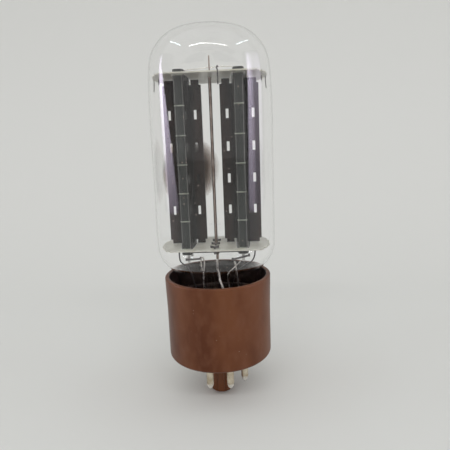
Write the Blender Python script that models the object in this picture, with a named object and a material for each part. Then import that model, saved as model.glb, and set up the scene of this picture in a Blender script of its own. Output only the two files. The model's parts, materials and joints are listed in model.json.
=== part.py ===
"""A straight-bulb rectifier vacuum tube with an octal base, as separate parts.

Metres, +Z up along the tube. The origin is the centre of the base's seating face, where the base meets the
top of its socket. The key points to -Y, and the two plates stand side by side along X.
"""

import math

import bmesh
import bpy
from mathutils import Matrix, Vector

MM = 0.001

# Clearance between parts that touch on the real tube.
GAP = 0.3 * MM

# Glass bulb.
BULB_RADIUS = 19.05 * MM
BULB_TOP = 103.7 * MM
GLASS_WALL = 0.8 * MM
SHOULDER_TOP = 37.6 * MM
NECK_RADIUS = 12.85 * MM
NECK_END = 8.9 * MM
TURNED_SIDES = 40

# Brown base.
BASE_RADIUS = 17.2 * MM
BASE_RIM_RADIUS = 17.45 * MM
BASE_BORE_RADIUS = 16.0 * MM
BASE_HEIGHT = 27.1 * MM
BASE_FLOOR = 2.5 * MM
BASE_EDGE = 1.1 * MM
KEY_RADIUS = 3.95 * MM
KEY_BORE_RADIUS = 2.75 * MM
KEY_LENGTH = 14.3 * MM
KEY_RIB_WIDTH = 2.1 * MM
KEY_RIB_REACH = 5.05 * MM

# Pins, numbered clockwise from the key as seen from below.
PIN_CIRCLE_RADIUS = 8.725 * MM
PIN_RADIUS = 1.18 * MM
PIN_BORE_RADIUS = 0.8 * MM
PIN_LENGTH = 10.1 * MM
PIN_TAPER = 2.3 * MM
PIN_INSIDE = 4.2 * MM
PIN_CLEARANCE = 0.1 * MM
PIN_PITCH = math.radians(45.0)
PINS_FITTED = (1, 2, 4, 6, 8)

# Cement and stem.
CEMENT_BOTTOM = 10.4 * MM
CEMENT_TOP = 19.4 * MM
STEM_BOTTOM = 9.6 * MM
STEM_TOP = 12.4 * MM
STEM_HOLE_RADIUS = 0.7 * MM
EXHAUST_RADIUS = 2.2 * MM
EXHAUST_BORE_RADIUS = 1.4 * MM
EXHAUST_TIP = -10.5 * MM

# Cage.
MICA_RADIUS = 17.55 * MM
MICA_HALF_DEPTH = 10.5 * MM
MICA_THICKNESS = 0.4 * MM
MICA_TEETH = 7
MICA_TOOTH_DEPTH = 0.7 * MM
SPACER_HOLE_X = 15.9 * MM
HOOK_X = 3.0 * MM
UPPER_MICA_BOTTOM = 89.4 * MM
LOWER_MICA_BOTTOM = 36.95 * MM

# Plates. A section is given from the middle of its channel.
PLATE_X = 8.8 * MM
SHEET = 0.25 * MM
WING_Y = 0.45 * MM
WING_OUTER = 6.1 * MM
WING_INNER = 5.9 * MM
CHANNEL_DEPTH = 8.0 * MM
CHANNEL_FACE_HALF = 1.5 * MM
CHANNEL_FOOT_HALF = 2.15 * MM
CHANNEL_TOP = 91.0 * MM
CHANNEL_BOTTOM = 35.45 * MM
WING_TOP = 89.0 * MM
WING_BOTTOM = 37.7 * MM
WING_STEP = 1.5 * MM
WING_STEP_WIDTH = 0.65 * MM
BEAD_COUNT = 5
BEAD_TOP_Z = 80.7 * MM
BEAD_PITCH = 8.66 * MM
BEAD_HEIGHT = 0.35 * MM
BEAD_RISE = 0.16 * MM
SLOT_HALF_WIDTH = 0.45 * MM
SLOT_HALF_HEIGHT = 1.45 * MM
SLOT_COUNT = 4
SLOT_TOP_Z = 78.6 * MM
SLOT_PITCH = 10.03 * MM
SLOT_FROM_OUTER_EDGE = 1.8 * MM
SLOT_FROM_INNER_EDGE = 2.1 * MM

# Filaments and the metalwork under the lower mica.
FILAMENT_APEX = 87.7 * MM
FILAMENT_FOOT = 32.0 * MM
FILAMENT_SPREAD = 4.2 * MM
RIBBON_WIDTH = 0.9 * MM
RIBBON_THICKNESS = 0.2 * MM
BAR_FRONT_Y = -4.9 * MM
ROD_RADIUS = 0.5 * MM
ROD_Y = -0.6 * MM
ROD_SHOULDER = 91.7 * MM
ROD_TIP = 95.8 * MM
ROD_TIP_RADIUS = 0.22 * MM
TAB_ROWS = (2.2 * MM, -3.0 * MM, -8.0 * MM)
LEAD_RADIUS = 0.28 * MM
SUPPORT_HOLE = (4.0 * MM, -3.4 * MM)
GETTER_PLACE = (-8.8 * MM, 10.9 * MM, 63.4 * MM)

Z_AXIS = Vector((0.0, 0.0, 1.0))


# ---------------------------------------------------------------- scene, materials, helpers


def clear_scene():
    for old in list(bpy.data.objects):
        bpy.data.objects.remove(old, do_unlink=True)


def material(name, colour, roughness, metallic=0.0, transmission=0.0, alpha=1.0):
    made = bpy.data.materials.new(name)
    made.use_nodes = True
    shader = made.node_tree.nodes["Principled BSDF"]
    shader.inputs["Base Color"].default_value = (*colour, 1.0)
    shader.inputs["Roughness"].default_value = roughness
    shader.inputs["Metallic"].default_value = metallic
    shader.inputs["Transmission Weight"].default_value = transmission
    shader.inputs["Alpha"].default_value = alpha
    made.diffuse_color = (*colour, alpha)
    return made


def add_object(name, data, finish):
    made = bpy.data.objects.new(name, data)
    bpy.context.scene.collection.objects.link(made)
    data.materials.append(finish)
    return made


def mesh_object(name, shape, finish):
    """Turns a bmesh into an object with outward faces."""
    bmesh.ops.recalc_face_normals(shape, faces=shape.faces)
    data = bpy.data.meshes.new(name)
    shape.to_mesh(data)
    shape.free()
    data.shade_smooth()
    data.set_sharp_from_angle(angle=math.radians(35.0))
    return add_object(name, data, finish)


def turned(name, profile, finish, sides=TURNED_SIDES, at=(0.0, 0.0)):
    """Spins a profile of (radius, height) points about Z. It is a loop, or it starts and ends on the axis."""
    shape = bmesh.new()
    points = [shape.verts.new((radius, 0.0, height)) for radius, height in profile]
    edges = [shape.edges.new(pair) for pair in zip(points, points[1:])]
    if profile[0][0] > 0.0 or profile[-1][0] > 0.0:
        edges.append(shape.edges.new((points[-1], points[0])))
    bmesh.ops.spin(
        shape, geom=points + edges, axis=Z_AXIS, cent=(0.0, 0.0, 0.0), angle=math.tau, steps=sides, use_merge=True
    )
    bmesh.ops.remove_doubles(shape, verts=shape.verts, dist=0.001 * MM)
    bmesh.ops.translate(shape, verts=shape.verts, vec=(*at, 0.0))
    return mesh_object(name, shape, finish)


def prism_into(shape, outline, low, high, axis="Z"):
    """Adds an outline extruded between two levels. With axis X or Y the outline lies across that axis."""
    place = {
        "Z": lambda a, b, level: (a, b, level),
        "X": lambda a, b, level: (level, a, b),
        "Y": lambda a, b, level: (a, level, b),
    }[axis]
    ring = [shape.verts.new(place(a, b, low)) for a, b in outline]
    face = shape.faces.new(ring)
    grown = bmesh.ops.extrude_face_region(shape, geom=[face])
    moved = [item for item in grown["geom"] if isinstance(item, bmesh.types.BMVert)]
    bmesh.ops.translate(shape, verts=moved, vec=Vector(place(0.0, 0.0, high - low)))


def prism(name, outline, low, high, finish, axis="Z"):
    shape = bmesh.new()
    prism_into(shape, outline, low, high, axis)
    return mesh_object(name, shape, finish)


def box_into(shape, low, high):
    outline = ((low[0], low[1]), (high[0], low[1]), (high[0], high[1]), (low[0], high[1]))
    prism_into(shape, outline, low[2], high[2])


def cutter_object(shape):
    """A helper for a Boolean, left out of the render and of the parts."""
    cutter = mesh_object("cutter", shape, CUTTER_FINISH)
    cutter.hide_render = True
    cutter.display_type = "WIRE"
    return cutter


def combine(target, other, operation):
    boolean = target.modifiers.new(operation.lower(), "BOOLEAN")
    boolean.operation = operation
    boolean.solver = "EXACT"
    boolean.object = other


def round_holes(centres, radius, low, high, sides=16):
    shape = bmesh.new()
    for x, y in centres:
        outline = [
            (x + radius * math.cos(step * math.tau / sides), y + radius * math.sin(step * math.tau / sides))
            for step in range(sides)
        ]
        prism_into(shape, outline, low, high)
    return cutter_object(shape)


def smooth_route(points, steps):
    """A smooth curve through the points, with `steps` stretches between each two.

    Each stretch's pull is in keeping with its own length, so a short stretch beside a long one stays even.
    """
    ends = [2 * points[0] - points[1], *points, 2 * points[-1] - points[-2]]
    route = []
    for before, start, end, after in zip(ends, ends[1:], ends[2:], ends[3:]):
        step_over = end - start
        length = step_over.length
        leave = (end - before) * length / ((start - before).length + length)
        arrive = (after - start) * length / (length + (after - end).length)
        for step in range(steps):
            t = step / steps
            bend = (3 * step_over - 2 * leave - arrive) * t**2
            turn = (leave + arrive - 2 * step_over) * t**3
            route.append(start + leave * t + bend + turn)
    return [*route, points[-1]]


def wire(name, points, radius, finish, steps=3, sides_each_quarter=2):
    """A round wire along a smooth route, given in millimetres."""
    route = smooth_route([Vector(point) * MM for point in points], steps)
    curve = bpy.data.curves.new(name, "CURVE")
    curve.dimensions = "3D"
    spline = curve.splines.new("POLY")
    spline.points.add(len(route) - 1)
    for target, point in zip(spline.points, route):
        target.co = (*point, 1.0)
    curve.bevel_depth = radius
    curve.bevel_resolution = sides_each_quarter
    curve.use_fill_caps = True
    return add_object(name, curve, finish)


def arc(centre, radius, start, end, count):
    """Points (radius, height) along an arc, both ends included, angles in degrees."""
    points = []
    for step in range(count + 1):
        angle = math.radians(start + (end - start) * step / count)
        points.append((centre[0] + radius * math.cos(angle), centre[1] + radius * math.sin(angle)))
    return points


# ---------------------------------------------------------------- base and pins


def base_profile():
    """Counter-clockwise loop of (radius, height), from the bottom of the key's bore round to the key's end."""
    rim = [
        (BASE_BORE_RADIUS, BASE_HEIGHT - 0.4 * MM),
        (BASE_BORE_RADIUS + 0.15 * MM, BASE_HEIGHT - 0.12 * MM),
        (BASE_BORE_RADIUS + 0.45 * MM, BASE_HEIGHT),
        (BASE_RIM_RADIUS - 0.45 * MM, BASE_HEIGHT),
        (BASE_RIM_RADIUS - 0.12 * MM, BASE_HEIGHT - 0.15 * MM),
        (BASE_RIM_RADIUS, BASE_HEIGHT - 0.5 * MM),
        (BASE_RIM_RADIUS - 0.03 * MM, BASE_HEIGHT - 3.0 * MM),
        (BASE_RADIUS + 0.1 * MM, BASE_HEIGHT - 7.0 * MM),
        (BASE_RADIUS, BASE_HEIGHT - 11.0 * MM),
    ]
    corner = arc((BASE_RADIUS - BASE_EDGE, BASE_EDGE), BASE_EDGE, 0.0, -90.0, 4)
    key = [
        (KEY_RADIUS, 0.0),
        (KEY_RADIUS, 1.0 * MM - KEY_LENGTH),
        (KEY_RADIUS - 0.9 * MM, -KEY_LENGTH),
        (0.0, -KEY_LENGTH),
    ]
    bore = [(0.0, 1.6 * MM - KEY_LENGTH), (KEY_BORE_RADIUS, 1.6 * MM - KEY_LENGTH), (KEY_BORE_RADIUS, BASE_FLOOR)]
    return bore + [(BASE_BORE_RADIUS, BASE_FLOOR)] + rim + corner + key


def pin_centre(number):
    """Pin 1 stands half a pitch from the key, and the key points to -Y."""
    turn = (number - 0.5) * PIN_PITCH
    return PIN_CIRCLE_RADIUS * math.sin(turn), -PIN_CIRCLE_RADIUS * math.cos(turn)


def make_base(finish):
    base = turned("base_shell", base_profile(), finish)
    rib = bmesh.new()
    box_into(
        rib,
        (-KEY_RIB_WIDTH / 2, -KEY_RIB_REACH, 1.0 * MM - KEY_LENGTH),
        (KEY_RIB_WIDTH / 2, 0.4 * MM - KEY_RADIUS, 0.3 * MM),
    )
    combine(base, cutter_object(rib), "UNION")
    holes = round_holes(
        [pin_centre(number) for number in PINS_FITTED], PIN_RADIUS + PIN_CLEARANCE, -1.0 * MM, BASE_FLOOR + 1.0 * MM
    )
    combine(base, holes, "DIFFERENCE")


def make_pins(finish):
    profile = [
        (0.0, 1.4 * MM - PIN_LENGTH),
        (PIN_BORE_RADIUS, 2.6 * MM - PIN_LENGTH),
        (PIN_BORE_RADIUS, PIN_INSIDE),
        (PIN_RADIUS, PIN_INSIDE),
        (PIN_RADIUS, PIN_TAPER - PIN_LENGTH),
        (0.75 * PIN_RADIUS, 0.42 * PIN_TAPER - PIN_LENGTH),
        (0.36 * PIN_RADIUS, 0.08 * PIN_TAPER - PIN_LENGTH),
        (0.0, -PIN_LENGTH),
    ]
    for number in PINS_FITTED:
        turned(f"pin_{number}", profile, finish, sides=16, at=pin_centre(number))


def make_cement(finish):
    inner = NECK_RADIUS + GAP
    outer = BASE_BORE_RADIUS - GAP
    profile = [
        (outer, CEMENT_BOTTOM),
        (outer, CEMENT_TOP),
        (inner + 0.9 * MM, CEMENT_TOP + 0.7 * MM),
        (inner, CEMENT_TOP + 0.3 * MM),
        (inner, CEMENT_BOTTOM),
    ]
    turned("base_cement", profile, finish)


# ---------------------------------------------------------------- glass


def bulb_profile():
    """Outer line of (radius, height), from the neck's end to the top of the dome."""
    shape = [
        (NECK_RADIUS, 18.4 * MM),
        (NECK_RADIUS, 24.6 * MM),
        (NECK_RADIUS + 0.5 * MM, 27.3 * MM),
        (NECK_RADIUS + 1.5 * MM, 29.0 * MM),
        (BULB_RADIUS - 3.35 * MM, 30.6 * MM),
        (BULB_RADIUS - 1.7 * MM, 32.5 * MM),
        (BULB_RADIUS - 0.5 * MM, 34.7 * MM),
        (BULB_RADIUS, SHOULDER_TOP),
        (BULB_RADIUS, 60.0 * MM),
        (BULB_RADIUS, 81.0 * MM),
        (BULB_RADIUS - 0.2 * MM, 87.0 * MM),
        (BULB_RADIUS - 0.45 * MM, 90.6 * MM),
        (BULB_RADIUS - 1.0 * MM, 94.5 * MM),
        (BULB_RADIUS - 2.0 * MM, 97.2 * MM),
        (BULB_RADIUS - 4.3 * MM, 100.2 * MM),
        (BULB_RADIUS - 7.3 * MM, 102.3 * MM),
        (BULB_RADIUS - 12.2 * MM, BULB_TOP - 0.35 * MM),
        (0.0, BULB_TOP),
    ]
    line = smooth_route([Vector((radius, height)) for radius, height in shape], 2)
    return [(NECK_RADIUS, NECK_END)] + [(max(point.x, 0.0), point.y) for point in line]


def inside_of(outer):
    """The same line moved in by the glass wall, along each point's own normal."""
    inner = []
    for index, (radius, height) in enumerate(outer):
        before = outer[max(index - 1, 0)]
        after = outer[min(index + 1, len(outer) - 1)]
        along = Vector((after[0] - before[0], after[1] - before[1])).normalized()
        if index == len(outer) - 1:
            along = Vector((-1.0, 0.0))
        inner.append((max(radius - along.y * GLASS_WALL, 0.0), height + along.x * GLASS_WALL))
    return inner


def make_envelope(finish):
    outer = bulb_profile()
    inner = inside_of(outer)
    inner[0] = (NECK_RADIUS - GLASS_WALL, NECK_END)
    inner[-1] = (0.0, BULB_TOP - GLASS_WALL)
    turned("glass_envelope", inner[::-1] + outer, finish)


def lead_holes():
    """Where each lead passes through the stem: towards its own pin, on a smaller circle."""
    return {number: tuple(0.86 * value for value in pin_centre(number)) for number in PINS_FITTED}


def make_stem(finish):
    edge = NECK_RADIUS - GLASS_WALL - GAP
    profile = [
        (EXHAUST_RADIUS, STEM_TOP - 0.5 * MM),
        (EXHAUST_RADIUS + 1.0 * MM, STEM_TOP),
        (edge - 0.6 * MM, STEM_TOP),
        (edge, STEM_TOP - 0.6 * MM),
        (edge, STEM_BOTTOM + 0.4 * MM),
        (edge - 0.4 * MM, STEM_BOTTOM),
        (EXHAUST_RADIUS, STEM_BOTTOM),
    ]
    stem = turned("stem_disc", profile[::-1], finish)
    holes = [*lead_holes().values(), SUPPORT_HOLE]
    combine(stem, round_holes(holes, STEM_HOLE_RADIUS, STEM_BOTTOM - MM, STEM_TOP + MM), "DIFFERENCE")


def make_exhaust_tube(finish):
    radius = EXHAUST_RADIUS - GAP
    bore = EXHAUST_BORE_RADIUS - GAP
    profile = [
        (0.0, EXHAUST_TIP + 1.6 * MM),
        (0.7 * bore, EXHAUST_TIP + 2.4 * MM),
        (bore, EXHAUST_TIP + 4.4 * MM),
        (bore, STEM_TOP - 0.6 * MM),
        (radius, STEM_TOP - 0.6 * MM),
        (radius, EXHAUST_TIP + 3.6 * MM),
        (0.72 * radius, EXHAUST_TIP + 1.5 * MM),
        (0.3 * radius, EXHAUST_TIP + 0.3 * MM),
        (0.0, EXHAUST_TIP),
    ]
    turned("exhaust_tube", profile, finish, sides=20)


# ---------------------------------------------------------------- micas


def mica_outline():
    """A disc cut flat in front and behind, with square teeth round both ends."""
    reach = math.asin(MICA_HALF_DEPTH / MICA_RADIUS)
    end = []
    for tooth in range(MICA_TEETH):
        low = -reach + 2 * reach * tooth / MICA_TEETH
        high = -reach + 2 * reach * (tooth + 0.62) / MICA_TEETH
        for angle, radius in ((low, MICA_RADIUS), (high, MICA_RADIUS), (high, MICA_RADIUS - MICA_TOOTH_DEPTH)):
            end.append((radius * math.cos(angle), radius * math.sin(angle)))
        following = -reach + 2 * reach * (tooth + 1) / MICA_TEETH
        end.append((end[-1][0] * math.cos(following) / math.cos(high), MICA_RADIUS * math.sin(following) * 0.962))
    end[-1] = (end[-1][0], MICA_HALF_DEPTH)
    return end + [(-x, -y) for x, y in end]


def channel_hole(side, clearance):
    """The six-sided opening that both halves of a plate's channel pass through."""
    foot = CHANNEL_FOOT_HALF + clearance
    face = CHANNEL_FACE_HALF + clearance
    depth = CHANNEL_DEPTH + clearance
    outline = [(-face, -depth), (face, -depth), (foot, 0.0), (face, depth), (-face, depth), (-foot, 0.0)]
    return [(side * PLATE_X + x, y) for x, y in outline]


def make_mica(name, bottom, finish):
    mica = prism(name, mica_outline(), bottom, bottom + MICA_THICKNESS, finish)
    openings = bmesh.new()
    low, high = bottom - MM, bottom + MICA_THICKNESS + MM
    for side in (-1, 1):
        prism_into(openings, channel_hole(side, GAP), low, high)
    combine(mica, cutter_object(openings), "DIFFERENCE")
    combine(mica, round_holes([(0.0, ROD_Y)], ROD_RADIUS + GAP, low, high), "DIFFERENCE")
    return mica


def cut_tab_slots(mica):
    slots = bmesh.new()
    for row in TAB_ROWS:
        box_into(
            slots,
            (-0.55 * MM, row - 0.65 * MM, LOWER_MICA_BOTTOM - MM),
            (0.55 * MM, row + 0.65 * MM, LOWER_MICA_BOTTOM + MICA_THICKNESS + MM),
        )
    combine(mica, cutter_object(slots), "DIFFERENCE")


def cut_spacer_holes(mica):
    low, high = UPPER_MICA_BOTTOM - MM, UPPER_MICA_BOTTOM + MICA_THICKNESS + MM
    centres = [(side * SPACER_HOLE_X, 0.0) for side in (-1, 1)]
    combine(mica, round_holes(centres, 0.5 * MM, low, high), "DIFFERENCE")
    notch = bmesh.new()
    box_into(notch, (HOOK_X - 0.5 * MM, -11.0 * MM, low), (HOOK_X + 0.5 * MM, -9.6 * MM, high))
    combine(mica, cutter_object(notch), "DIFFERENCE")


# ---------------------------------------------------------------- plates


def half_shell_section(rise):
    """Closed section of the half in front, from its channel's middle. `rise` swells the channel into a bead."""
    foot = CHANNEL_FOOT_HALF + 0.6 * rise
    face = CHANNEL_FACE_HALF + 0.8 * rise
    front = CHANNEL_DEPTH + rise
    outer = [
        (-WING_OUTER, -WING_Y),
        (-foot, -WING_Y),
        (-face, -front + 0.5 * MM),
        (-face + 0.45 * MM, -front),
        (face - 0.45 * MM, -front),
        (face, -front + 0.5 * MM),
        (foot, -WING_Y),
        (WING_INNER, -WING_Y),
    ]
    back = SHEET - WING_Y
    inner = [
        (WING_INNER, back),
        (foot - SHEET, back),
        (face - SHEET, -front + 0.6 * MM),
        (face - 0.62 * MM, -front + SHEET),
        (-face + 0.62 * MM, -front + SHEET),
        (-face + SHEET, -front + 0.6 * MM),
        (-foot + SHEET, back),
        (-WING_OUTER, back),
    ]
    return outer + inner


def shell_levels():
    """(height, rise) of each section, with four sections for each bead."""
    levels = [(CHANNEL_BOTTOM, 0.0)]
    for bead in reversed(range(BEAD_COUNT)):
        middle = BEAD_TOP_Z - bead * BEAD_PITCH
        levels += [
            (middle - BEAD_HEIGHT / 2, 0.0),
            (middle - BEAD_HEIGHT / 5, BEAD_RISE),
            (middle + BEAD_HEIGHT / 5, BEAD_RISE),
            (middle + BEAD_HEIGHT / 2, 0.0),
        ]
    return [*levels, (CHANNEL_TOP, 0.0)]


def shell_mesh(place):
    """The half shell before it is trimmed. `place` maps a section point to its plate."""
    shape = bmesh.new()
    rings = []
    for height, rise in shell_levels():
        rings.append([shape.verts.new((*place(x, y), height)) for x, y in half_shell_section(rise)])
    for low, high in zip(rings, rings[1:]):
        for index in range(len(low)):
            following = (index + 1) % len(low)
            shape.faces.new((low[index], low[following], high[following], high[index]))
    shape.faces.new(rings[0])
    shape.faces.new(rings[-1])
    return shape


def wing_cuts(place):
    """Boxes that trim the wings' ends and cut their slots."""
    beyond = 2.0 * MM
    clear = CHANNEL_FOOT_HALF + 0.12 * MM
    spans = [
        (-WING_OUTER - MM, -clear, WING_TOP, WING_BOTTOM),
        (clear, WING_INNER + MM, WING_TOP, WING_BOTTOM),
        (-WING_OUTER - MM, -WING_OUTER + WING_STEP_WIDTH, WING_TOP - WING_STEP, WING_BOTTOM + 0.8 * WING_STEP),
        (WING_INNER - WING_STEP_WIDTH, WING_INNER + MM, WING_TOP - WING_STEP, WING_BOTTOM + 0.8 * WING_STEP),
        (clear - 0.1 * MM, clear + 0.55 * MM, WING_TOP - WING_STEP, WING_BOTTOM + 0.8 * WING_STEP),
    ]
    boxes = []
    for start, end, top, bottom in spans:
        boxes.append((start, end, top, CHANNEL_TOP + beyond))
        boxes.append((start, end, CHANNEL_BOTTOM - beyond, bottom))
    for row in range(SLOT_COUNT):
        middle = SLOT_TOP_Z - row * SLOT_PITCH
        for x in (-WING_OUTER + SLOT_FROM_OUTER_EDGE, WING_INNER - SLOT_FROM_INNER_EDGE):
            low, high = middle - SLOT_HALF_HEIGHT, middle + SLOT_HALF_HEIGHT
            boxes.append((x - SLOT_HALF_WIDTH, x + SLOT_HALF_WIDTH, low, high))
    cuts = []
    for start, end, low, high in boxes:
        corners = [place(start, -WING_Y - 0.4 * MM), place(end, SHEET - WING_Y + 0.2 * MM)]
        xs = sorted(corner[0] for corner in corners)
        ys = sorted(corner[1] for corner in corners)
        cuts.append(((xs[0], ys[0], low), (xs[1], ys[1], high)))
    return cuts


def make_half_plate(name, side, face, finish):
    """side is -1 for the left plate; face is -1 for the half in front, +1 for the half behind."""

    def place(x, y):
        return side * PLATE_X - side * x, -face * y

    shell = mesh_object(name, shell_mesh(place), finish)
    cuts = wing_cuts(place)
    # Cuts of one group don't touch each other, so each group is one clean cutter.
    for group in (cuts[0:4], cuts[4:10], cuts[10:]):
        boxes = bmesh.new()
        for low, high in group:
            box_into(boxes, low, high)
        combine(shell, cutter_object(boxes), "DIFFERENCE")


# ---------------------------------------------------------------- filaments, rod and leads


def make_filament(name, side, finish):
    """A ribbon folded over at the top, its two legs spread front and back."""
    half = RIBBON_THICKNESS / 2
    outline = [
        (-FILAMENT_SPREAD - half, FILAMENT_FOOT),
        (-half * 1.5, FILAMENT_APEX),
        (half * 1.5, FILAMENT_APEX),
        (FILAMENT_SPREAD + half, FILAMENT_FOOT),
        (FILAMENT_SPREAD - half, FILAMENT_FOOT),
        (0.0, FILAMENT_APEX - 2.2 * MM),
        (-FILAMENT_SPREAD + half, FILAMENT_FOOT),
    ]
    middle = side * PLATE_X
    prism(name, outline, middle - RIBBON_WIDTH / 2, middle + RIBBON_WIDTH / 2, finish, axis="X")


def make_filament_spring(finish):
    points = [
        (-8.8, 0.5, 88.3),
        (-8.8, 0.5, 90.6),
        (-8.0, 0.5, 92.0),
        (-4.0, 0.5, 92.3),
        (0.0, 0.5, 92.55),
        (4.0, 0.5, 92.7),
        (8.0, 0.5, 92.3),
        (8.8, 0.5, 90.6),
        (8.8, 0.5, 88.3),
    ]
    wire("filament_spring", points, 0.12 * MM, finish, steps=2)


def make_centre_rod(finish):
    foot = LOWER_MICA_BOTTOM + 0.05 * MM
    profile = [
        (0.0, foot),
        (ROD_RADIUS, foot),
        (ROD_RADIUS, ROD_SHOULDER - 0.4 * MM),
        (ROD_TIP_RADIUS, ROD_SHOULDER),
        (ROD_TIP_RADIUS, ROD_TIP),
        (0.0, ROD_TIP),
    ]
    turned("centre_rod", profile, finish, sides=16, at=(0.0, ROD_Y))


def make_centre_stay(finish):
    """A strap under the lower mica, with a tab through it at each row, spread above it into a bow tie."""
    strap_top = LOWER_MICA_BOTTOM - 0.25 * MM
    mica_top = LOWER_MICA_BOTTOM + MICA_THICKNESS
    shape = bmesh.new()
    box_into(shape, (-0.25 * MM, -9.0 * MM, strap_top - 1.0 * MM), (0.25 * MM, 3.2 * MM, strap_top))
    stay = mesh_object("centre_stay", shape, finish)
    tabs = bmesh.new()
    for row in TAB_ROWS:
        outline = [
            (-0.2 * MM, strap_top - 0.4 * MM),
            (0.2 * MM, strap_top - 0.4 * MM),
            (0.2 * MM, mica_top + 0.3 * MM),
            (1.35 * MM, mica_top + 0.25 * MM),
            (1.35 * MM, mica_top + 0.95 * MM),
            (0.0, mica_top + 0.6 * MM),
            (-1.35 * MM, mica_top + 0.95 * MM),
            (-1.35 * MM, mica_top + 0.25 * MM),
            (-0.2 * MM, mica_top + 0.3 * MM),
        ]
        prism_into(tabs, outline, row - 0.35 * MM, row + 0.35 * MM, axis="Y")
    combine(stay, cutter_object(tabs), "UNION")


def make_centre_ferrule(finish):
    profile = [
        (0.0, 32.7 * MM),
        (0.42 * MM, 32.7 * MM),
        (0.45 * MM, 34.3 * MM),
        (1.0 * MM, 35.3 * MM),
        (0.0, 35.3 * MM),
    ]
    turned("centre_ferrule", profile, finish, sides=14, at=(0.4 * MM, -3.0 * MM))


def bar_outline(start, end, height):
    """A flat bar on edge with a small upturned knob at each end, as (x, z) points in millimetres."""
    (x0, z0), (x1, z1) = start, end
    half = height / 2
    outline = [
        (x0 - 0.3, z0 - half - 0.15),
        (x0 + 0.3, z0 - half),
        (x1 - 0.3, z1 - half),
        (x1 + 0.3, z1 - half),
        (x1 + 0.3, z1 + half + 0.35),
        (x1 - 0.3, z1 + half + 0.35),
        (x1 - 0.35, z1 + half),
        (x0 + 0.35, z0 + half),
        (x0 + 0.3, z0 + half + 0.2),
        (x0 - 0.3, z0 + half + 0.2),
    ]
    return [(x * MM, z * MM) for x, z in outline]


def make_filament_bars(finish):
    front = (BAR_FRONT_Y - 0.2 * MM, BAR_FRONT_Y + 0.2 * MM)
    prism("filament_bar_left", bar_outline((-9.5, 33.1), (-4.9, 33.3), 0.55), *front, finish, "Y")
    prism("filament_bar_right", bar_outline((5.3, 32.9), (10.6, 34.0), 0.55), *front, finish, "Y")
    back = (-BAR_FRONT_Y - 0.2 * MM, -BAR_FRONT_Y + 0.2 * MM)
    prism("filament_bridge", bar_outline((-9.4, 33.2), (9.4, 33.2), 0.6), *back, finish, "Y")


def make_leads(bright, dull):
    holes = lead_holes()
    pins = {number: pin_centre(number) for number in PINS_FITTED}

    def down(number):
        """From just above the stem, through it and into the pin, in millimetres."""
        hole_x, hole_y = (value / MM for value in holes[number])
        pin_x, pin_y = (value / MM for value in pins[number])
        in_stem = [(hole_x, hole_y, z) for z in (14.9, 10.9, 9.0)]
        return in_stem + [(pin_x, pin_y, 5.4), (pin_x, pin_y, 2.6)]

    left = [(-4.15, -5.3, 28.8), (-4.2, -5.5, 25.9), (-3.7, -6.2, 19.4)]
    wire("lead_filament_left", left + down(8), LEAD_RADIUS, bright)
    right = [(5.9, -5.2, 32.3), (6.3, -5.2, 29.6), (6.9, -4.6, 23.4)]
    wire("lead_filament_right", right + down(2), LEAD_RADIUS, bright)
    centre = [(0.2, -3.3, 32.4), (0.25, -3.3, 29.0), (0.7, -3.5, 27.2), (0.9, -3.8, 26.0), (1.8, -4.8, 23.4)]
    wire("lead_centre", centre + down(1), 0.42 * MM, bright)
    left_anode = [(-12.5, 0.9, 36.4), (-12.7, 0.9, 32.9), (-12.4, 1.1, 30.8), (-10.6, 1.6, 28.8), (-8.6, 2.2, 24.9)]
    wire("lead_anode_left", left_anode + down(6), 0.25 * MM, dull)
    right_anode = [(12.6, 0.9, 36.4), (12.6, 1.0, 32.9), (11.6, 1.8, 30.3), (9.0, 4.0, 28.0), (5.6, 6.2, 24.4)]
    wire("lead_anode_right", right_anode + down(4), 0.25 * MM, dull)
    support_x, support_y = (value / MM for value in SUPPORT_HOLE)
    support = [(8.1, -5.9, 32.8), (5.9, -6.1, 30.6), (3.7, -6.0, 28.3), (3.9, -4.6, 23.4)]
    support += [(support_x, support_y, 15.4), (support_x, support_y, 10.2)]
    wire("support_lead_right", support, 0.22 * MM, bright)
    hairpin = [(-4.55, 29.6), (-4.85, 32.4), (-4.4, 34.1), (-3.8, 33.0), (-3.75, 31.4), (-4.05, 29.3)]
    clip = [(x, -5.5, z) for x, z in hairpin]
    wire("filament_clip_left", clip, 0.2 * MM, bright)


def make_cage_trim(finish):
    """The eye pin at the upper mica's front edge and the two wires that steady the cage in the bulb."""
    hook = [(3.0, 85.9), (3.0, 87.9), (3.0, 89.8), (2.75, 90.4), (3.0, 90.9), (3.25, 90.5)]
    wire("mica_hook", [(x, -10.55, z) for x, z in hook], 0.2 * MM, finish)
    stem = [(15.9, 0.0, 88.0), (15.9, 0.0, 89.8), (16.2, 0.3, 90.5), (16.7, 0.7, 90.6)]
    leg = [(17.15, 0.95, 90.1), (17.2, 0.95, 88.0), (17.4, 1.0, 85.8)]
    right = stem + leg
    wire("bulb_spacer_right", right, 0.16 * MM, finish)
    wire("bulb_spacer_left", [(-x, -y, z) for x, y, z in right], 0.16 * MM, finish)


def make_getter(finish, pan_finish):
    """The getter pan behind the left plate, facing the glass, on its short post."""
    profile = [
        (0.0, -0.35 * MM),
        (2.6 * MM, -0.35 * MM),
        (2.6 * MM, 0.55 * MM),
        (2.2 * MM, 0.55 * MM),
        (2.2 * MM, 0.0),
        (0.0, 0.0),
    ]
    pan = turned("getter_pan", profile, pan_finish, sides=24)
    pan.matrix_local = Matrix.Translation(GETTER_PLACE) @ Matrix.Rotation(math.radians(-90.0), 4, "X")
    x, y, z = (value / MM for value in GETTER_PLACE)
    post = [(x, y - 2.5, z - 5.0), (x, y - 1.5, z - 4.6), (x, y - 1.0, z - 3.0), (x, y - 1.0, z + 1.0)]
    wire("getter_post", post, 0.25 * MM, finish)


# ---------------------------------------------------------------- assembly

clear_scene()

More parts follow.
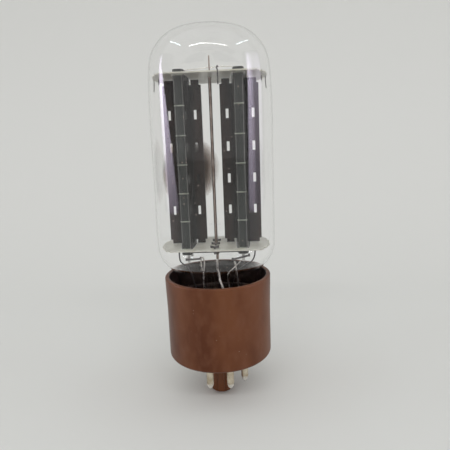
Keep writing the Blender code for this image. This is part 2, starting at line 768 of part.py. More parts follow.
CUTTER_FINISH = material("cutter", (0.8, 0.8, 0.8), 0.5)
glass = material("clear_glass", (0.93, 0.96, 0.95), 0.03, transmission=0.9, alpha=0.25)
phenolic = material("brown_phenolic", (0.16, 0.05, 0.03), 0.35)
nickel = material("pin_nickel", (0.72, 0.66, 0.55), 0.3, metallic=1.0)
cement = material("cement", (0.07, 0.045, 0.035), 0.9)
mica = material("mica", (0.62, 0.6, 0.52), 0.45)
carbonised = material("carbonised_nickel", (0.025, 0.023, 0.024), 0.5)
dark_metal = material("dark_metal", (0.12, 0.11, 0.11), 0.4, metallic=1.0)
bright_wire = material("bright_wire", (0.75, 0.72, 0.68), 0.25, metallic=1.0)
rod_metal = material("rod_metal", (0.45, 0.36, 0.31), 0.25, metallic=1.0)
coated_ribbon = material("coated_ribbon", (0.8, 0.79, 0.75), 0.8)

make_base(phenolic)
make_pins(nickel)
make_cement(cement)
make_envelope(glass)
make_stem(glass)
make_exhaust_tube(glass)

upper = make_mica("upper_mica", UPPER_MICA_BOTTOM, mica)
cut_spacer_holes(upper)
lower = make_mica("lower_mica", LOWER_MICA_BOTTOM, mica)
cut_tab_slots(lower)
for plate_name, plate_side in (("left", -1), ("right", 1)):
    for half_name, half_face in (("front", -1), ("rear", 1)):
        make_half_plate(f"anode_{plate_name}_{half_name}", plate_side, half_face, carbonised)
    make_filament(f"filament_{plate_name}", plate_side, coated_ribbon)
make_filament_spring(bright_wire)
make_centre_rod(rod_metal)
make_centre_stay(dark_metal)
make_centre_ferrule(rod_metal)
make_filament_bars(dark_metal)
make_leads(bright_wire, dark_metal)
make_cage_trim(dark_metal)
make_getter(dark_metal, bright_wire)
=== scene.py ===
"""Looks for the rectifier vacuum tube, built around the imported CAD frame.

Metres, +Z up along the tube. The key, and the camera, are on the -Y side.
"""

import json
import math

import bmesh
import bpy
from mathutils import Matrix, Vector


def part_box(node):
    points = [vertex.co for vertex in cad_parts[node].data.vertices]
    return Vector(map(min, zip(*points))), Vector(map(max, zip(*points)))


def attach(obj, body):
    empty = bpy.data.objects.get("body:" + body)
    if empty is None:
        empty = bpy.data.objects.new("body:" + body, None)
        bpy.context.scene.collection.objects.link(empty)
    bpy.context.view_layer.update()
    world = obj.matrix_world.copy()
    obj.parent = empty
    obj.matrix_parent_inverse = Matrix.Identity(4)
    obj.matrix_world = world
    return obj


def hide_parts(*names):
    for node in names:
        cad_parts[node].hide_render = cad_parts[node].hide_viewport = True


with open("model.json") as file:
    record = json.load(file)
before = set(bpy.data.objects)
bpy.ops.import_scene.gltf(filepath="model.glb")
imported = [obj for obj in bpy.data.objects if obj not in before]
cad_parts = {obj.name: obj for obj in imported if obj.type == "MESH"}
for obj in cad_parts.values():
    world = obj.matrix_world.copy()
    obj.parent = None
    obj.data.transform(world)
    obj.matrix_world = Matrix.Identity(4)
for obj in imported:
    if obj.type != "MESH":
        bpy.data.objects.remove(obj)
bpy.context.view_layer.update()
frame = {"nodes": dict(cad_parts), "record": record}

MM = 0.001
Z_AXIS = Vector((0.0, 0.0, 1.0))

# Camera, at the photograph's viewing angle.
CAMERA_DISTANCE = 134.7 * MM
CAMERA_HEIGHT = 67.3 * MM
CAMERA_AZIMUTH = math.radians(4.0)
CAMERA_DOWN = math.radians(10.14)
CAMERA_YAW = math.radians(-2.71)
CAMERA_ROLL = math.radians(-2.14)
CAMERA_LENS_MM = 33.4

# The floor touches the tip of the key post.
FLOOR_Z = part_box("base_shell")[0][2]
FLOOR_REACH = 3.0
SWEEP_START_Y = 0.09
SWEEP_RADIUS = 0.25
WALL_HEIGHT = 1.6

# Lights. The lamp bars hang at LAMP_HEIGHT, each from (x, y) to (x, y).
WORLD_COLOUR = (0.725, 0.715, 0.70, 1.0)
LAMP_HEIGHT = 0.6
LAMP_AIM = 0.08
FRONT_LAMP = ((-0.37, -0.49), (0.44, -0.49))
LEFT_LAMP = ((-0.49, -0.30), (-0.46, 0.12))
RIGHT_LAMP = ((0.57, -0.24), (0.49, 0.19))
WHITE = (1.0, 1.0, 1.0)
COOL_WHITE = (0.75, 0.95, 1.0)

# Glowing walls at the sides, seen only as reflections.
CARD_COLOUR = (0.88, 0.79, 1.0, 1.0)
CARD_DISTANCE = 0.5
CARD_TOP = 0.33
CARD_LEAN_TOP = 0.75 * CARD_TOP
CARD_NEAR_FADE = math.radians(4.0)
CARD_FAR_FADE = math.radians(6.0)
CARD_FAR_LEAN = math.radians(5.0)
CARD_DIM_FROM = math.radians(35.0)
CARD_DIM_TO = math.radians(24.0)

# Bulb.
GLASS_WALL = 0.25 * MM
NECK_RADIUS = 12.85 * MM
BULB_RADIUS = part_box("glass_envelope")[1][0]
BULB_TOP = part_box("glass_envelope")[1][2]
NECK_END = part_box("glass_envelope")[0][2]
SHOULDER_TOP = 37.6 * MM

# Plates.
PLATE_X = 8.8 * MM
CHANNEL_DEPTH = -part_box("anode_left_front")[0][1] - 0.16 * MM
CHANNEL_HALF_WIDTH = 1.22 * MM
BEAD_TOP_Z = 80.7 * MM
BEAD_PITCH = 8.66 * MM

# Getter film on the inside of the bulb. FILM_TURN is from the back towards -X.
FILM_TURN = math.radians(34.5)
FILM_HEIGHT = 60.5 * MM
FILM_RADIUS = 13.0 * MM
FILM_SURFACE = 18.5 * MM
FILM_THICKNESS = 0.03 * MM

# Base and pins.
BASE_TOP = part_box("base_shell")[1][2]
RIM_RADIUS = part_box("base_shell")[1][0]
BASE_RADIUS = RIM_RADIUS - 0.25 * MM
BASE_BORE = RIM_RADIUS - 1.45 * MM
BASE_FLOOR = 2.5 * MM
BASE_EDGE = 1.1 * MM
LIP_RADIUS = 0.42 * MM
KEY_RADIUS = 3.95 * MM
KEY_EDGE = 0.9 * MM
KEY_BORE = 2.75 * MM
KEY_WALL = 1.6 * MM
RIB_WIDTH = 2.1 * MM
RIB_DEPTH = 1.7 * MM
PIN_HOLE = 1.26 * MM
KEY_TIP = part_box("base_shell")[0][2]
PINS = [f"pin_{number}" for number in (1, 2, 4, 6, 8)]


# ---------------------------------------------------------------- camera, stage and light


def make_camera():
    forward = Vector(
        (
            math.sin(CAMERA_YAW) * math.cos(CAMERA_DOWN),
            math.cos(CAMERA_YAW) * math.cos(CAMERA_DOWN),
            -math.sin(CAMERA_DOWN),
        )
    )
    level = Vector((math.cos(CAMERA_YAW), -math.sin(CAMERA_YAW), 0.0))
    above = level.cross(forward)
    right = math.cos(CAMERA_ROLL) * level + math.sin(CAMERA_ROLL) * above
    up = math.cos(CAMERA_ROLL) * above - math.sin(CAMERA_ROLL) * level
    turn = Matrix((right, up, -forward)).transposed()
    data = bpy.data.cameras.new("camera")
    data.lens = CAMERA_LENS_MM
    data.sensor_width = 36.0
    data.clip_start = 0.005
    camera = bpy.data.objects.new("camera", data)
    place = Vector((math.sin(CAMERA_AZIMUTH), -math.cos(CAMERA_AZIMUTH), 0.0)) * CAMERA_DISTANCE
    place.z = CAMERA_HEIGHT
    camera.matrix_world = Matrix.Translation(place) @ turn.to_4x4()
    bpy.context.scene.collection.objects.link(camera)
    bpy.context.scene.camera = camera


def make_floor():
    """A pale floor that sweeps up into the wall behind."""
    profile = [(-FLOOR_REACH, FLOOR_Z), (SWEEP_START_Y, FLOOR_Z)]
    steps = 24
    for step in range(1, steps + 1):
        turn = math.radians(90.0) * step / steps
        y = SWEEP_START_Y + SWEEP_RADIUS * math.sin(turn)
        profile.append((y, FLOOR_Z + SWEEP_RADIUS * (1.0 - math.cos(turn))))
    profile.append((SWEEP_START_Y + SWEEP_RADIUS, FLOOR_Z + WALL_HEIGHT))
    shape = bmesh.new()
    sides = []
    for x in (-FLOOR_REACH, FLOOR_REACH):
        sides.append([shape.verts.new((x, y, z)) for y, z in profile])
    for index in range(len(profile) - 1):
        shape.faces.new((sides[0][index], sides[1][index], sides[1][index + 1], sides[0][index + 1]))
    data = bpy.data.meshes.new("floor")
    shape.to_mesh(data)
    shape.free()
    data.shade_smooth()
    floor = bpy.data.objects.new("floor", data)
    bpy.context.scene.collection.objects.link(floor)
    look = Look("floor_paper", (0.74, 0.74, 0.725), 0.85)
    look.bump(look.noise(900.0, 3.0), 0.04, 0.1 * MM)
    look.set(Specular_IOR_Level=0.1)
    data.materials.append(look.material)


def around(azimuth, distance, height):
    """A point seen from the tube at that azimuth, in degrees from the camera's side towards +X."""
    turn = math.radians(azimuth)
    return Vector((distance * math.sin(turn), -distance * math.cos(turn), height))


def lamp_bar(name, ends, thickness, radiance, colour):
    """A long lamp between two points, facing the tube."""
    start, end = (Vector((*place, LAMP_HEIGHT)) for place in ends)
    middle = (start + end) / 2
    along = (end - start).normalized()
    away = (middle - Vector((0.0, 0.0, LAMP_AIM))).normalized()
    away = (away - away.dot(along) * along).normalized()
    data = bpy.data.lights.new(name, "AREA")
    data.shape = "RECTANGLE"
    data.size = (end - start).length
    data.size_y = thickness
    data.energy = radiance * math.pi * data.size * data.size_y
    data.color = colour
    lamp = bpy.data.objects.new(name, data)
    turn = Matrix((along, away.cross(along), away)).transposed()
    lamp.matrix_world = Matrix.Translation(middle) @ turn.to_4x4()
    bpy.context.scene.collection.objects.link(lamp)


def card(name, corners, strength_of):
    """A glowing studio card, seen as a reflection only. strength_of builds its brightness from the look."""
    data = bpy.data.meshes.new(name)
    data.from_pydata([tuple(corner) for corner in corners], [], [tuple(range(len(corners)))])
    look = Look(name, (0.0, 0.0, 0.0), 1.0)
    look.set(Specular_IOR_Level=0.0, Emission_Color=CARD_COLOUR, Emission_Strength=strength_of(look))
    data.materials.append(look.material)
    piece = bpy.data.objects.new(name, data)
    bpy.context.scene.collection.objects.link(piece)
    piece.visible_camera = False
    piece.visible_diffuse = False
    piece.visible_transmission = False
    piece.visible_shadow = False


def wall_card(name, span, near_top, strength, far_share):
    """A glowing wall beside the tube, across a span of azimuths. Its near edge leans to near_top at its top.

    It is brightest high up, dims to far_share of that towards its far edge, and fades at its top and sides.
    """
    near, far = span
    low, high = FLOOR_Z, CARD_TOP
    corners = [around(near, CARD_DISTANCE, low), around(far, CARD_DISTANCE, low)]
    corners += [around(far, CARD_DISTANCE, high), around(near, CARD_DISTANCE, high)]
    turn = 1.0 if far > near else -1.0
    near, far, near_top = (math.radians(turn * angle) for angle in (near, far, near_top))

    def strength_of(look):
        x, y, z = look.axes()
        azimuth = look.sum("MULTIPLY", look.sum("ARCTAN2", x, look.sum("MULTIPLY", y, -1.0)), turn)
        edge = look.scaled(z, 0.0, CARD_LEAN_TOP, near, near_top)
        near_fade = look.scaled(look.sum("SUBTRACT", azimuth, edge), 0.0, CARD_NEAR_FADE)
        dimmer = look.scaled(azimuth, far - CARD_DIM_FROM, far - CARD_DIM_TO, 1.0, far_share)
        far_edge = look.scaled(z, 0.0, CARD_LEAN_TOP, far - CARD_FAR_LEAN, far)
        far_fade = look.scaled(look.sum("SUBTRACT", far_edge, azimuth), 0.0, CARD_FAR_FADE)
        rise = look.scaled(z, low, 0.85 * high, *strength)
        top_fade = look.scaled(z, 0.6 * high, 0.98 * high, 1.0, 0.0)
        return look.product(rise, near_fade, dimmer, far_fade, top_fade)

    card(name, corners, strength_of)


def make_lights():
    """Soft light from all round, three lamp bars above, and a pale glowing wall on each side."""
    world = bpy.data.worlds.new("studio")
    bpy.context.scene.world = world
    world.use_nodes = True
    backdrop = world.node_tree.nodes["Background"]
    backdrop.inputs["Color"].default_value = WORLD_COLOUR
    backdrop.inputs["Strength"].default_value = 1.0
    lamp_bar("lamp_front", FRONT_LAMP, 0.02, 24.0, WHITE)
    lamp_bar("lamp_left", LEFT_LAMP, 0.016, 13.0, COOL_WHITE)
    lamp_bar("lamp_right", RIGHT_LAMP, 0.016, 13.0, COOL_WHITE)
    wall_card("wall_left", (-64.0, -101.0), -91.5, (1.8, 17.0), 1.0)
    wall_card("wall_right", (67.0, 113.0), 74.0, (3.0, 15.0), 0.25)


# ---------------------------------------------------------------- materials


class Look:
    """One material, built up by short calls on its node tree."""

    def __init__(self, name, colour, roughness, metallic=0.0):
        self.material = bpy.data.materials.new(name)
        self.material.use_nodes = True
        self.tree = self.material.node_tree
        self.shader = self.tree.nodes["Principled BSDF"]
        self.shader.inputs["Base Color"].default_value = (*colour, 1.0)
        self.shader.inputs["Roughness"].default_value = roughness
        self.shader.inputs["Metallic"].default_value = metallic
        self.place = self.add("ShaderNodeTexCoord").outputs["Object"]

    def add(self, kind, settings=None, **inputs):
        node = self.tree.nodes.new(kind)
        for key, value in (settings or {}).items():
            setattr(node, key, value)
        for key, value in inputs.items():
            self.feed(node.inputs[key.replace("_", " ")], value)
        return node

    def feed(self, socket, value):
        if isinstance(value, bpy.types.NodeSocket):
            self.tree.links.new(value, socket)
        else:
            socket.default_value = value

    def set(self, **inputs):
        for key, value in inputs.items():
            self.feed(self.shader.inputs[key.replace("_", " ")], value)

    def axes(self):
        """The object's own X, Y and Z."""
        return self.add("ShaderNodeSeparateXYZ", Vector=self.place).outputs[:]

    def stretched(self, x, y, z):
        """Object coordinates scaled by these factors."""
        return self.add("ShaderNodeMapping", Vector=self.place, Scale=(x, y, z)).outputs[0]

    def noise(self, scale, detail=2.0, vector=None, roughness=0.5):
        settings = {"Scale": scale, "Detail": detail, "Roughness": roughness}
        return self.add("ShaderNodeTexNoise", Vector=vector or self.place, **settings).outputs["Fac"]

    def flakes(self, scale, vector):
        return self.add("ShaderNodeTexVoronoi", Vector=vector, Scale=scale).outputs["Distance"]

    def specks(self, scale, share, size):
        """Round specks in a random share of the cells, each `size` of a cell in radius."""
        cells = self.add("ShaderNodeTexVoronoi", Vector=self.place, Scale=scale)
        chance = self.add("ShaderNodeSeparateColor", Color=cells.outputs["Color"]).outputs["Red"]
        chosen = self.scaled(chance, 1.0 - share, 1.0 - 0.8 * share)
        dot = self.scaled(cells.outputs["Distance"], 0.6 * size, size, 1.0, 0.0)
        return self.sum("MULTIPLY", chosen, dot)

    def scaled(self, value, low, high, to_low=0.0, to_high=1.0):
        """value mapped from low..high to to_low..to_high, held at both ends."""
        node = self.add("ShaderNodeMapRange", {"clamp": True}, Value=value)
        self.feed(node.inputs["From Min"], low)
        self.feed(node.inputs["From Max"], high)
        self.feed(node.inputs["To Min"], to_low)
        self.feed(node.inputs["To Max"], to_high)
        return node.outputs["Result"]

    def sum(self, operation, first, second=0.0):
        node = self.add("ShaderNodeMath", {"operation": operation})
        self.feed(node.inputs[0], first)
        self.feed(node.inputs[1], second)
        return node.outputs[0]

    def product(self, *factors):
        result = factors[0]
        for factor in factors[1:]:
            result = self.sum("MULTIPLY", result, factor)
        return result

    def blend(self, factor, low, high):
        """Colour low where factor is 0 and high where it is 1."""
        node = self.add("ShaderNodeMix", {"data_type": "RGBA"})
        self.feed(node.inputs[0], factor)
        for socket, value in ((node.inputs[6], low), (node.inputs[7], high)):
            self.feed(socket, (*value, 1.0) if isinstance(value, tuple) else value)
        return node.outputs[2]

    def mix_in_clear(self, factor):
        """Makes the surface clear where factor is 1."""
        mix = self.add("ShaderNodeMixShader")
        self.feed(mix.inputs[0], factor)
        self.feed(mix.inputs[1], self.shader.outputs[0])
        self.feed(mix.inputs[2], self.add("ShaderNodeBsdfTransparent").outputs[0])
        self.feed(self.tree.nodes["Material Output"].inputs["Surface"], mix.outputs[0])

    def bump(self, height, strength, distance):
        relief = self.add("ShaderNodeBump", Strength=strength, Distance=distance, Height=height)
        self.set(Normal=relief.outputs[0])


def clear_glass():
    """Smooth glass that lets the lamps reach what it holds."""
    look = Look("clear_glass", (1.0, 1.0, 1.0), 0.0)
    look.set(Transmission_Weight=1.0, IOR=1.45)
    look.mix_in_clear(look.add("ShaderNodeLightPath").outputs["Is Shadow Ray"])
    return look.material


def brown_phenolic():
    """Moulded brown phenolic, unevenly dulled by age, with pale flecks of filler."""
    look = Look("brown_phenolic", (0.08, 0.022, 0.008), 0.28)
    cloud = look.noise(70.0, 3.0, look.stretched(1.0, 1.0, 0.4), 0.55)
    grain = look.noise(420.0, 2.0, look.stretched(1.0, 1.0, 0.5))
    colour = look.blend(look.scaled(cloud, 0.38, 0.62), (0.096, 0.027, 0.0092), (0.158, 0.055, 0.022))
    colour = look.blend(look.scaled(grain, 0.45, 0.75, 0.0, 0.4), colour, (0.19, 0.078, 0.044))
    flecks = look.sum("MULTIPLY", look.specks(900.0, 0.05, 0.2), 0.4)
    x, y, z = look.axes()
    across = look.sum("POWER", look.sum("ADD", look.product(x, x), look.product(y, y)), 0.5)
    inside = look.scaled(across, BASE_BORE + 0.05 * MM, BASE_BORE + 0.3 * MM, 1.0, 0.0)
    inside = look.product(inside, look.scaled(z, 0.0, BASE_FLOOR))
    colour = look.blend(inside, colour, (0.022, 0.011, 0.007))
    flecks = look.sum("ADD", flecks, look.product(inside, look.specks(1100.0, 0.3, 0.3), 0.6))
    colour = look.blend(flecks, colour, (0.40, 0.28, 0.21))
    look.set(Base_Color=colour, Roughness=look.scaled(cloud, 0.35, 0.65, 0.34, 0.4), Specular_IOR_Level=0.2)
    return look.material


def metal(name, dark, bright, roughness):
    """Bare metal, with a fine unevenness in tone and gloss."""
    look = Look(name, bright, roughness, 1.0)
    tone = look.noise(500.0, 3.0)
    look.set(Base_Color=look.blend(look.scaled(tone, 0.3, 0.7), dark, bright))
    look.set(Roughness=look.scaled(look.noise(650.0, 2.0), 0.3, 0.7, 0.8 * roughness, 1.25 * roughness))
    look.bump(look.noise(1000.0, 1.0), 0.03, 0.05 * MM)
    return look.material


def pin_metal():
    """Nickel pins with a brighter, rounder blob of solder at the tip."""
    look = Look("pin_nickel", (0.72, 0.66, 0.55), 0.28, 1.0)
    z = look.axes()[2]
    wander = look.sum("MULTIPLY", look.noise(600.0, 1.0), 1.0 * MM)
    solder = look.scaled(look.sum("ADD", z, wander), -8.2 * MM, -7.4 * MM)
    stain = look.scaled(look.noise(350.0, 4.0), 0.35, 0.65)
    nickel = look.blend(stain, (0.50, 0.42, 0.30), (0.80, 0.73, 0.60))
    colour = look.blend(solder, (0.90, 0.88, 0.82), nickel)
    look.set(Base_Color=colour, Roughness=look.blend(solder, (0.42, 0.42, 0.42), (0.26, 0.26, 0.26)))
    look.bump(look.noise(700.0, 1.0), 0.05, 0.1 * MM)
    return look.material


def carbonised():
    """Carbon-coated sheet: brown-black wings, and greyer channel faces with painted highlights at their beads
    and edges, plus painted shade on the channel side walls and on the wings beside them.
    """
    look = Look("carbonised_nickel", (0.02, 0.012, 0.01), 0.3)
    x, y, z = look.axes()
    across = look.sum("ABSOLUTE", look.sum("SUBTRACT", look.sum("ABSOLUTE", x), PLATE_X))
    depth = look.sum("ABSOLUTE", y)
    face = look.scaled(depth, CHANNEL_DEPTH - 0.5 * MM, CHANNEL_DEPTH - 0.2 * MM)
    # The wall mask covers the channel's side walls, which get a near-black painted shade.
    wall = look.scaled(depth, 0.8 * MM, 1.6 * MM)
    streaks = look.noise(260.0, 4.0, look.stretched(3.0, 3.0, 0.3))
    wing = look.blend(look.scaled(streaks, 0.35, 0.65), (0.012, 0.0052, 0.0037), (0.026, 0.0125, 0.009))
    # Painted shade: the wings darken to near-black beside each channel, where the channel's side wall shades
    # them.
    painted_shade_by_channel = look.scaled(across, 2.2 * MM, 4.0 * MM, 1.0, 0.0)
    wing = look.blend(painted_shade_by_channel, wing, (0.002, 0.0015, 0.0013))
    colour = look.blend(wall, wing, (0.005, 0.0045, 0.0045))
    grey = look.blend(look.scaled(streaks, 0.3, 0.7), (0.020, 0.023, 0.021), (0.036, 0.040, 0.037))
    colour = look.blend(face, colour, grey)
    # Painted highlights: pale lines along the channel rims and at the beads, broken up by noise.
    from_rim = look.sum("ABSOLUTE", look.sum("SUBTRACT", across, CHANNEL_HALF_WIDTH))
    rim_painted_highlight = look.scaled(from_rim, 0.05 * MM, 0.16 * MM, 1.0, 0.0)
    phase = look.sum("MULTIPLY", look.sum("SUBTRACT", z, BEAD_TOP_Z), 1.0 / BEAD_PITCH)
    off = look.sum("ABSOLUTE", look.sum("SUBTRACT", phase, look.sum("ROUND", phase)))
    bead_painted_highlight = look.scaled(off, 0.012, 0.03, 1.0, 0.0)
    highlight_breakup = look.scaled(look.noise(500.0, 3.0), 0.3, 0.55, 0.35, 1.0)
    colour = look.blend(look.product(rim_painted_highlight, face, highlight_breakup, 0.55), colour, (0.26, 0.25, 0.23))
    colour = look.blend(look.product(bead_painted_highlight, face, highlight_breakup, 0.8), colour, (0.36, 0.38, 0.31))
    specks = look.sum("MULTIPLY", look.specks(800.0, 0.09, 0.24), 0.6)
    colour = look.blend(specks, colour, (0.34, 0.26, 0.22))
    rough = look.scaled(face, 0.0, 1.0, 0.2, 0.34)
    look.set(Base_Color=colour, Roughness=look.sum("ADD", rough, look.scaled(streaks, 0.3, 0.7, -0.05, 0.08)))
    look.set(Specular_IOR_Level=0.08)
    look.bump(look.noise(120.0, 2.0), 0.1, 0.2 * MM)
    return look.material


def mica_sheet():
    look = Look("mica", (0.7, 0.68, 0.58), 0.3)
    cloud = look.noise(160.0, 5.0)
    flakes = look.flakes(420.0, look.stretched(1.0, 1.0, 0.1))
    colour = look.blend(look.scaled(cloud, 0.35, 0.65), (0.62, 0.60, 0.49), (0.80, 0.78, 0.69))
    colour = look.blend(look.scaled(flakes, 0.1, 0.6, 0.25, 0.0), colour, (0.86, 0.85, 0.79))
    look.set(Base_Color=colour, Roughness=look.scaled(cloud, 0.3, 0.7, 0.3, 0.45), Transmission_Weight=0.3)
    look.bump(look.noise(300.0, 3.0), 0.1, 0.1 * MM)
    return look.material


def getter_film():
    """A brown mirror of metal, flashed on to the glass, that thins to nothing at its edge."""
    look = Look("getter_film", (0.05, 0.028, 0.02), 0.2, 0.85)
    x, y, z = look.axes()
    turn = look.sum("ARCTAN2", look.sum("MULTIPLY", x, -1.0), y)
    side = look.sum("MULTIPLY", look.sum("SUBTRACT", turn, FILM_TURN), FILM_SURFACE)
    rise = look.sum("SUBTRACT", z, FILM_HEIGHT)
    reach = look.sum("POWER", look.sum("ADD", look.product(side, side), look.product(rise, rise)), 0.5)
    reach = look.sum("ADD", reach, look.sum("MULTIPLY", look.noise(90.0, 1.0), 2.0 * MM))
    cover = look.scaled(reach, 0.62 * FILM_RADIUS, 1.02 * FILM_RADIUS, 1.0, 0.0)
    edge = look.scaled(reach, 0.55 * FILM_RADIUS, 0.9 * FILM_RADIUS)
    look.set(Base_Color=look.blend(edge, (0.03, 0.018, 0.014), (0.30, 0.17, 0.10)), Alpha=cover)
    return look.material


def matt(name, dark, bright, roughness):
    """A dull, rough coat."""
    look = Look(name, bright, roughness)
    look.set(Base_Color=look.blend(look.scaled(look.noise(500.0, 4.0), 0.35, 0.65), dark, bright))
    look.bump(look.noise(1000.0, 3.0), 0.3, 0.2 * MM)
    return look.material


# ---------------------------------------------------------------- shapes


def smooth_route(points, steps):
    """A smooth curve through the points, with `steps` stretches between each two.

    Each stretch's pull is in keeping with its own length, so a short stretch beside a long one stays even.
    """
    ends = [2 * points[0] - points[1], *points, 2 * points[-1] - points[-2]]
    route = []
    for before, start, end, after in zip(ends, ends[1:], ends[2:], ends[3:]):
        step_over = end - start
        length = step_over.length
        leave = (end - before) * length / ((start - before).length + length)
        arrive = (after - start) * length / (length + (after - end).length)
        for step in range(steps):
            t = step / steps
            bend = (3 * step_over - 2 * leave - arrive) * t**2
            turn = (leave + arrive - 2 * step_over) * t**3
            route.append(start + leave * t + bend + turn)
    return [*route, points[-1]]


def place_piece(name, shape, finish, replaced=(), sharp=35.0):
    bmesh.ops.recalc_face_normals(shape, faces=shape.faces)
    data = bpy.data.meshes.new(name)
    shape.to_mesh(data)
    shape.free()
    data.shade_smooth()
    data.set_sharp_from_angle(angle=math.radians(sharp))
    data.materials.append(finish)
    piece = bpy.data.objects.new(name, data)
    bpy.context.scene.collection.objects.link(piece)
    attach(piece, "root")
    if replaced:
        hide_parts(*replaced)
    return piece


def spun(profile, sides, at=(0.0, 0.0)):
    shape = bmesh.new()
    points = [shape.verts.new((radius, 0.0, height)) for radius, height in profile]
    edges = [shape.edges.new(pair) for pair in zip(points, points[1:])]
    if profile[0][0] > 0.0 or profile[-1][0] > 0.0:
        edges.append(shape.edges.new((points[-1], points[0])))
    whole = {"axis": Z_AXIS, "cent": (0.0, 0.0, 0.0), "angle": math.tau, "steps": sides, "use_merge": True}
    bmesh.ops.spin(shape, geom=points + edges, **whole)
    bmesh.ops.remove_doubles(shape, verts=shape.verts, dist=0.001 * MM)
    bmesh.ops.translate(shape, verts=shape.verts, vec=(*at, 0.0))
    return shape


def bulb_profile():
    shape = [
        (NECK_RADIUS, 18.4 * MM),
        (NECK_RADIUS, 24.6 * MM),
        (NECK_RADIUS + 0.5 * MM, 27.3 * MM),
        (NECK_RADIUS + 1.5 * MM, 29.0 * MM),
        (BULB_RADIUS - 3.35 * MM, 30.6 * MM),
        (BULB_RADIUS - 1.7 * MM, 32.5 * MM),
        (BULB_RADIUS - 0.5 * MM, 34.7 * MM),
        (BULB_RADIUS, SHOULDER_TOP),
        (BULB_RADIUS, 60.0 * MM),
        (BULB_RADIUS, 81.0 * MM),
        (BULB_RADIUS - 0.2 * MM, 87.0 * MM),
        (BULB_RADIUS - 0.45 * MM, 90.6 * MM),
        (BULB_RADIUS - 1.0 * MM, 94.5 * MM),
        (BULB_RADIUS - 2.0 * MM, 97.2 * MM),
        (BULB_RADIUS - 4.3 * MM, 100.2 * MM),
        (BULB_RADIUS - 7.3 * MM, 102.3 * MM),
        (BULB_RADIUS - 12.2 * MM, BULB_TOP - 0.35 * MM),
        (0.0, BULB_TOP),
    ]
    line = smooth_route([Vector((radius, height)) for radius, height in shape], 6)
    return [(NECK_RADIUS, NECK_END)] + [(max(point.x, 0.0), point.y) for point in line]


def inside_of(outer):
    inner = []
    for index, (radius, height) in enumerate(outer):
        before = outer[max(index - 1, 0)]
        after = outer[min(index + 1, len(outer) - 1)]
        along = Vector((after[0] - before[0], after[1] - before[1])).normalized()
        inner.append((max(radius - along.y * GLASS_WALL, 0.0), height + along.x * GLASS_WALL))
    inner[0] = (NECK_RADIUS - GLASS_WALL, NECK_END)
    inner[-1] = (0.0, BULB_TOP - GLASS_WALL)
    return inner


def make_bulb(finish):
    outer = bulb_profile()
    shape = spun(inside_of(outer)[::-1] + outer, 128)
    place_piece("glass_bulb", shape, finish, ["glass_envelope"], 80.0)


def make_film(finish):
    """The getter film: a thin round patch lying on the inside of the bulb, behind the left plate."""
    shape = bmesh.new()
    rings, spokes = 10, 48
    layers = []
    for surface in (FILM_SURFACE, FILM_SURFACE - FILM_THICKNESS):
        grid = []
        for ring in range(rings + 1):
            row = []
            for spoke in range(spokes if ring else 1):
                swing = math.tau * spoke / spokes
                out = FILM_RADIUS * ring / rings
                turn = FILM_TURN + out * math.cos(swing) / FILM_SURFACE
                height = FILM_HEIGHT + out * math.sin(swing)
                row.append(shape.verts.new((-surface * math.sin(turn), surface * math.cos(turn), height)))
            grid.append(row)
        for spoke in range(spokes):
            following = (spoke + 1) % spokes
            shape.faces.new((grid[0][0], grid[1][spoke], grid[1][following]))
            for inner, outer in zip(grid[1:], grid[2:]):
                shape.faces.new((inner[spoke], outer[spoke], outer[following], inner[following]))
        layers.append(grid[-1])
    for spoke in range(spokes):
        following = (spoke + 1) % spokes
        shape.faces.new((layers[0][spoke], layers[0][following], layers[1][following], layers[1][spoke]))
    place_piece("getter_mirror", shape, finish, sharp=80.0)


def arc(centre, radius, start, end, count):
    """Points (radius, height) along an arc, both ends included, angles in degrees."""
    turns = [math.radians(start + (end - start) * step / count) for step in range(count + 1)]
    return [(centre[0] + radius * math.cos(turn), centre[1] + radius * math.sin(turn)) for turn in turns]


def cut(piece, shape, operation="DIFFERENCE"):
    """Cuts the bmesh out of the piece, or joins it on, and keeps the result as the piece's own mesh."""
    bmesh.ops.recalc_face_normals(shape, faces=shape.faces)
    data = bpy.data.meshes.new("tool")
    shape.to_mesh(data)
    shape.free()
    tool = bpy.data.objects.new("tool", data)
    bpy.context.scene.collection.objects.link(tool)
    boolean = piece.modifiers.new("boolean", "BOOLEAN")
    boolean.operation = operation
    boolean.object = tool
    bpy.context.view_layer.update()
    made = bpy.data.meshes.new_from_object(piece.evaluated_get(bpy.context.evaluated_depsgraph_get()))
    piece.modifiers.clear()
    piece.data = made
    bpy.data.objects.remove(tool, do_unlink=True)
    made.shade_smooth()
    made.set_sharp_from_angle(angle=math.radians(35.0))


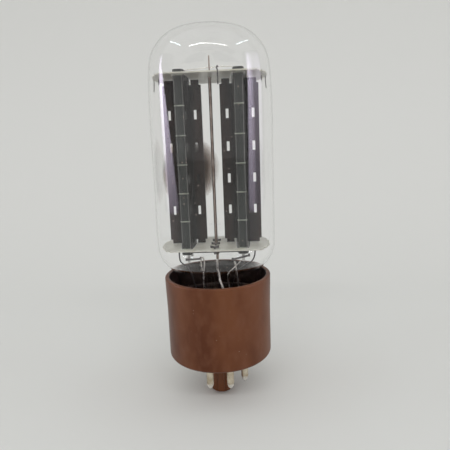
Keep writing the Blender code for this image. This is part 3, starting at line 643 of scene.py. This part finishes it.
def make_base(finish):
    """The moulded base: a cup with a rounded lip, and the key post with its rib under it."""
    line = [(BASE_BORE, BASE_FLOOR)]
    line += arc((BASE_BORE + LIP_RADIUS, BASE_TOP - LIP_RADIUS), LIP_RADIUS, 180.0, 90.0, 6)
    line += arc((RIM_RADIUS - LIP_RADIUS, BASE_TOP - LIP_RADIUS), LIP_RADIUS, 90.0, 0.0, 6)
    flare = [(RIM_RADIUS - 0.03 * MM, 3.0), (BASE_RADIUS + 0.1 * MM, 7.0), (BASE_RADIUS, 11.0)]
    line += [(radius, BASE_TOP - down * MM) for radius, down in flare]
    line += arc((BASE_RADIUS - BASE_EDGE, BASE_EDGE), BASE_EDGE, 0.0, -90.0, 10)
    line += [(KEY_RADIUS + 0.35 * MM, 0.0)]
    line += [(KEY_RADIUS + 0.1 * MM, -0.1 * MM), (KEY_RADIUS, -0.35 * MM), (KEY_RADIUS, KEY_TIP + KEY_EDGE)]
    line += arc((KEY_RADIUS - KEY_EDGE, KEY_TIP + KEY_EDGE), KEY_EDGE, -20.0, -90.0, 4)
    line += [(0.0, KEY_TIP), (0.0, KEY_TIP + KEY_WALL)]
    line += [(KEY_BORE, KEY_TIP + KEY_WALL), (KEY_BORE, BASE_FLOOR)]
    base = place_piece("moulded_base", spun(line, 160), finish, ["base_shell"])
    rib = bmesh.new()
    bmesh.ops.create_cube(rib, size=1.0)
    bmesh.ops.scale(rib, verts=rib.verts, vec=(RIB_WIDTH, RIB_DEPTH, -KEY_TIP - 0.9 * MM))
    bmesh.ops.translate(rib, verts=rib.verts, vec=(0.0, -4.2 * MM, 0.5 * (KEY_TIP + 1.3 * MM)))
    outer = [edge for edge in rib.edges if edge.verts[0].co.y < -4.5 * MM]
    upright = [edge for edge in outer if abs(edge.verts[0].co.z - edge.verts[1].co.z) > MM]
    bmesh.ops.bevel(rib, geom=upright, offset=0.4 * MM, segments=3, affect="EDGES", profile=0.5)
    cut(base, rib, "UNION")
    for pin in PINS:
        hole = bmesh.new()
        x, y = middle_of(pin)
        size = {"segments": 32, "radius1": PIN_HOLE, "radius2": PIN_HOLE, "depth": 6.0 * MM}
        bmesh.ops.create_cone(hole, cap_ends=True, **size)
        bmesh.ops.translate(hole, verts=hole.verts, vec=(x, y, 1.5 * MM))
        cut(base, hole)


def middle_of(node):
    low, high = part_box(node)
    return (low[0] + high[0]) / 2, (low[1] + high[1]) / 2


def make_pins(finish):
    """Tubular pins, each with its solder-filled tip."""
    for pin in PINS:
        low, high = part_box(pin)
        radius = (high[0] - low[0]) / 2
        tip = low[2]
        line = [(0.68 * radius, high[2]), (radius, high[2]), (radius, tip + 2.3 * MM)]
        line += [(0.985 * radius, tip + 1.9 * MM), (0.93 * radius, tip + 1.5 * MM)]
        line += [(0.8 * radius, tip + 1.0 * MM)]
        line += [(0.6 * radius, tip + 0.45 * MM), (0.34 * radius, tip + 0.1 * MM), (0.0, tip)]
        line += [(0.0, tip + 1.4 * MM), (0.68 * radius, tip + 2.6 * MM)]
        shape = spun(line, 32, middle_of(pin))
        place_piece(f"plug_{pin}", shape, finish, [pin], 50.0)


# ---------------------------------------------------------------- assembly

make_camera()
make_floor()
make_lights()

FINISHES = {
    "clear_glass": clear_glass(),
    "brown_phenolic": brown_phenolic(),
    "pin_nickel": pin_metal(),
    "cement": matt("cement", (0.03, 0.018, 0.014), (0.12, 0.08, 0.06), 0.9),
    "mica": mica_sheet(),
    "carbonised_nickel": carbonised(),
    "dark_metal": metal("dark_metal", (0.05, 0.045, 0.045), (0.18, 0.17, 0.17), 0.35),
    "bright_wire": metal("bright_wire", (0.5, 0.46, 0.42), (0.8, 0.77, 0.73), 0.28),
    "rod_metal": metal("rod_metal", (0.24, 0.17, 0.14), (0.42, 0.34, 0.30), 0.35),
    "coated_ribbon": matt("coated_ribbon", (0.7, 0.69, 0.65), (0.85, 0.84, 0.8), 0.8),
}
for entry in frame["record"]["subparts"]:
    node = frame["nodes"][entry["node"]]
    node.data.materials.clear()
    node.data.materials.append(FINISHES[entry["material_slot"]])
    node.data.shade_smooth()
    node.data.set_sharp_from_angle(angle=math.radians(35.0))

make_bulb(FINISHES["clear_glass"])
make_film(getter_film())
make_base(FINISHES["brown_phenolic"])
make_pins(FINISHES["pin_nickel"])

bpy.context.scene.view_settings.view_transform = "Standard"
